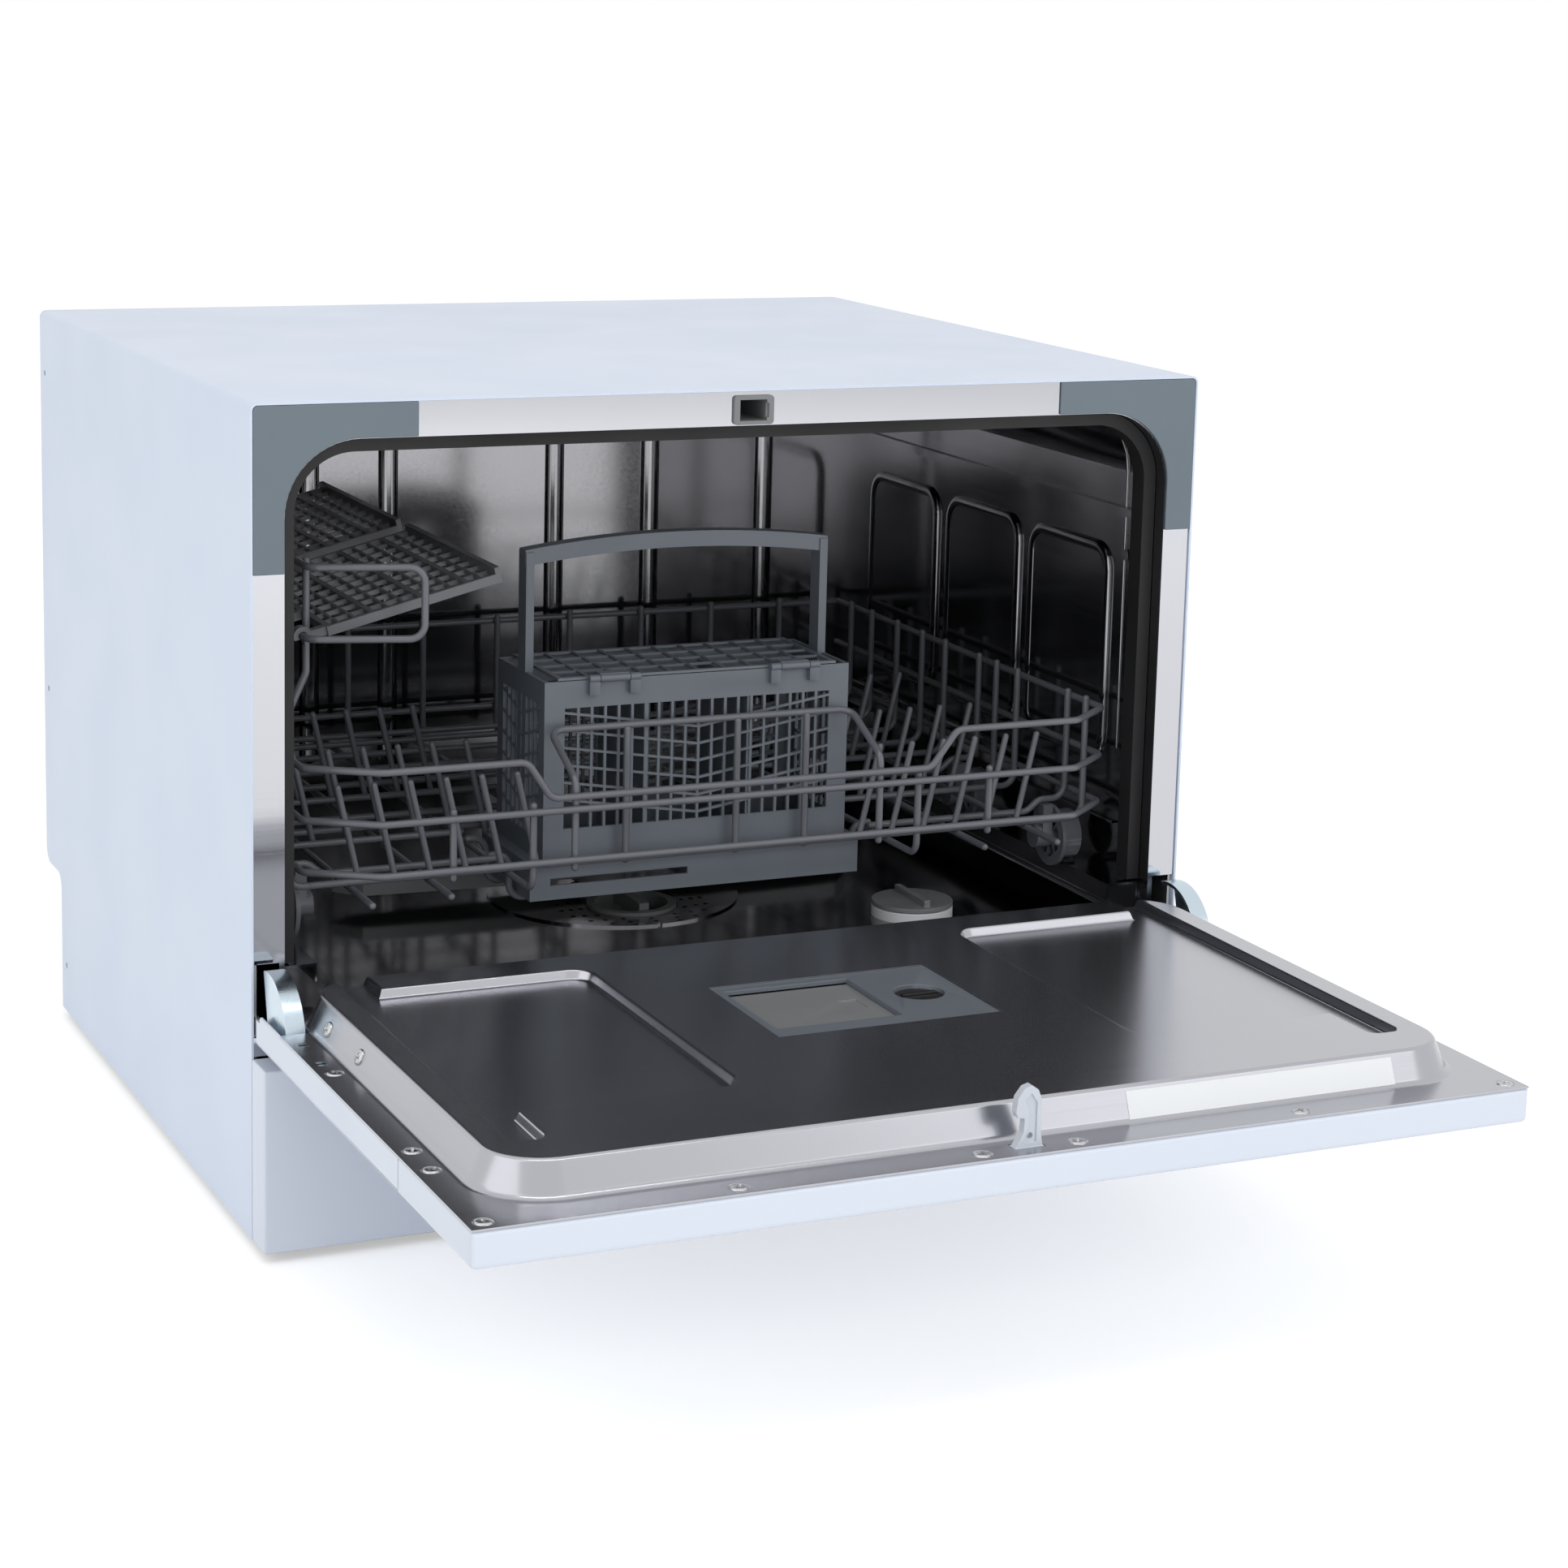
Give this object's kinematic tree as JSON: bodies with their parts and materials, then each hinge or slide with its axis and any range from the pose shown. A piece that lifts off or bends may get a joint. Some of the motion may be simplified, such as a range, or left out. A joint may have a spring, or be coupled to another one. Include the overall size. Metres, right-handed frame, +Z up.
{
  "type": "countertop dishwasher",
  "caption": "Compact countertop dishwasher with a drop-down front door, a wheeled pull-out wire rack with folding cup shelves, and a lidded cutlery basket.",
  "frame": {"origin": "under the middle of the object's footprint with the door open, on the worktop", "axes": "+X to the right seen from the front, +Y towards the back, +Z up; the open door points to -Y"},
  "size_m": [0.55, 0.8152, 0.443],
  "materials": {
    "base_plastic": "moulded grey",
    "black_plastic": "matt black",
    "blue_plastic": "strong blue",
    "board": "circuit board green",
    "casing_paint": "satin white paint",
    "coated_wire": "satin grey coating over steel wire",
    "galvanised": "galvanised sheet",
    "grey_plastic": "satin light grey",
    "label_film": "blank white film",
    "rubber": "matt black",
    "slate_plastic": "satin slate grey",
    "stainless": "stainless, brushed",
    "trim_plastic": "satin grey-blue",
    "white_plastic": "white",
    "zinc": "zinc plated"
  },
  "bodies": {
    "cabinet": {"outer_casing": "casing_paint", "rear_panel": "galvanised", "base_tray": "base_plastic", "kick_panel": "casing_paint", "feet": "rubber", "front_frame": "stainless", "corner_trim_left": "trim_plastic", "corner_trim_right": "trim_plastic", "tub": "stainless", "door_gasket": "rubber", "door_lock": "grey_plastic", "rack_track_left": "stainless", "rack_track_right": "stainless", "filter_plate": "stainless", "sump": "black_plastic", "wash_pump": "grey_plastic", "drain_pump": "black_plastic", "water_heater": "stainless", "softener": "white_plastic", "inlet_valve": "white_plastic", "hose_fittings": "black_plastic", "hinge_mount_left": "galvanised", "hinge_mount_right": "galvanised"},
    "door": {"door_panel": "casing_paint", "control_fascia": "white_plastic", "inner_tray": "stainless", "latch_hook": "grey_plastic", "dispenser_body": "slate_plastic", "control_board": "board", "door_screws": "stainless", "hinge_arm_left": "zinc", "hinge_arm_right": "zinc", "blank_label": "label_film"},
    "rack": {"rack_front": "coated_wire", "rack_left": "coated_wire", "rack_right": "coated_wire", "rack_back": "coated_wire", "rack_floor": "coated_wire", "rack_tines": "coated_wire", "tine_comb": "blue_plastic", "axle_clips": "grey_plastic", "cutlery_basket": "slate_plastic"},
    "dispenser_lid": {"dispenser_lid": "grey_plastic"},
    "rinse_cap": {"rinse_cap": "black_plastic"},
    "button_power": {"button_power": "grey_plastic"},
    "button_program": {"button_program": "grey_plastic"},
    "button_start": {"button_start": "grey_plastic"},
    "spray_arm": {"spray_arm": "grey_plastic"},
    "filter_cup": {"filter_cup": "grey_plastic"},
    "salt_cap": {"salt_cap": "grey_plastic"},
    "basket_lid": {"basket_lid": "slate_plastic"},
    "cup_shelf_front": {"cup_shelf_front": "grey_plastic"},
    "cup_shelf_rear": {"cup_shelf_rear": "grey_plastic"},
    "wheel_front_left": {"wheel_front_left": "grey_plastic"},
    "wheel_mid_left": {"wheel_mid_left": "grey_plastic"},
    "wheel_rear_left": {"wheel_rear_left": "grey_plastic"},
    "wheel_front_right": {"wheel_front_right": "grey_plastic"},
    "wheel_mid_right": {"wheel_mid_right": "grey_plastic"},
    "wheel_rear_right": {"wheel_rear_right": "grey_plastic"}
  },
  "joints": [
    {"name": "door_hinge", "type": "hinge", "parent": "cabinet", "child": "door", "pos_m": [0, -0.08465, 0.12], "axis": [1, 0, 0], "range_deg": [-90, 0]},
    {"name": "rack_slide", "type": "slide", "parent": "cabinet", "child": "rack", "axis": [0, -1, 0], "range_m": [0, 0.306]},
    {"name": "dispenser_lid_slide", "type": "slide", "parent": "door", "child": "dispenser_lid", "axis": [0, -1, 0], "range_m": [-0.045, 0]},
    {"name": "rinse_cap_turn", "type": "hinge", "parent": "door", "child": "rinse_cap", "pos_m": [0.038, -0.20835, 0.142], "axis": [0, 0, 1], "range_deg": [-90, 0]},
    {"name": "spray_arm_spin", "type": "hinge", "parent": "cabinet", "child": "spray_arm", "pos_m": [0, 0.14665, 0.126], "axis": [0, 0, 1], "continuous": true},
    {"name": "filter_cup_turn", "type": "hinge", "parent": "cabinet", "child": "filter_cup", "pos_m": [0, 0.09165, 0.117], "axis": [0, 0, 1], "range_deg": [-90, 0]},
    {"name": "salt_cap_turn", "type": "hinge", "parent": "cabinet", "child": "salt_cap", "pos_m": [0.15, 0.02165, 0.123], "axis": [0, 0, 1], "range_deg": [-90, 0]},
    {"name": "basket_lid_hinge", "type": "hinge", "parent": "rack", "child": "basket_lid", "pos_m": [0, -0.00595, 0.2774], "axis": [-1, 0, 0], "range_deg": [-100, 0]},
    {"name": "cup_shelf_front_fold", "type": "hinge", "parent": "rack", "child": "cup_shelf_front", "pos_m": [-0.23405, 0.05165, 0.314], "axis": [0, 1, 0], "range_deg": [-40, 0]},
    {"name": "cup_shelf_rear_fold", "type": "hinge", "parent": "rack", "child": "cup_shelf_rear", "pos_m": [-0.23405, 0.21965, 0.314], "axis": [0, 1, 0], "range_deg": [-40, 0]},
    {"name": "button_power_press", "type": "slide", "parent": "door", "child": "button_power", "axis": [0, 0, 1], "range_m": [0, 0.001], "stiffness_N_per_m": 300},
    {"name": "button_program_press", "type": "slide", "parent": "door", "child": "button_program", "axis": [0, 0, 1], "range_m": [0, 0.001], "stiffness_N_per_m": 300},
    {"name": "button_start_press", "type": "slide", "parent": "door", "child": "button_start", "axis": [0, 0, 1], "range_m": [0, 0.001], "stiffness_N_per_m": 300},
    {"name": "wheel_front_left_roll", "type": "hinge", "parent": "rack", "child": "wheel_front_left", "pos_m": [-0.24, 0.00715, 0.1618], "axis": [1, 0, 0], "range_deg": [0, 1215]},
    {"name": "wheel_mid_left_roll", "type": "hinge", "parent": "rack", "child": "wheel_mid_left", "pos_m": [-0.24, 0.11965, 0.1618], "axis": [1, 0, 0], "range_deg": [0, 1215]},
    {"name": "wheel_rear_left_roll", "type": "hinge", "parent": "rack", "child": "wheel_rear_left", "pos_m": [-0.24, 0.30265, 0.1618], "axis": [1, 0, 0], "range_deg": [0, 1215]},
    {"name": "wheel_front_right_roll", "type": "hinge", "parent": "rack", "child": "wheel_front_right", "pos_m": [0.24, 0.00715, 0.1618], "axis": [1, 0, 0], "range_deg": [0, 1215]},
    {"name": "wheel_mid_right_roll", "type": "hinge", "parent": "rack", "child": "wheel_mid_right", "pos_m": [0.24, 0.11965, 0.1618], "axis": [1, 0, 0], "range_deg": [0, 1215]},
    {"name": "wheel_rear_right_roll", "type": "hinge", "parent": "rack", "child": "wheel_rear_right", "pos_m": [0.24, 0.30265, 0.1618], "axis": [1, 0, 0], "range_deg": [0, 1215]}
  ],
  "couplings": [
    {"joint": "wheel_front_left_roll", "follows": "rack_slide", "rad_per_m": 68.966},
    {"joint": "wheel_mid_left_roll", "follows": "rack_slide", "rad_per_m": 68.966},
    {"joint": "wheel_rear_left_roll", "follows": "rack_slide", "rad_per_m": 68.966},
    {"joint": "wheel_front_right_roll", "follows": "rack_slide", "rad_per_m": 68.966},
    {"joint": "wheel_mid_right_roll", "follows": "rack_slide", "rad_per_m": 68.966},
    {"joint": "wheel_rear_right_roll", "follows": "rack_slide", "rad_per_m": 68.966}
  ]
}
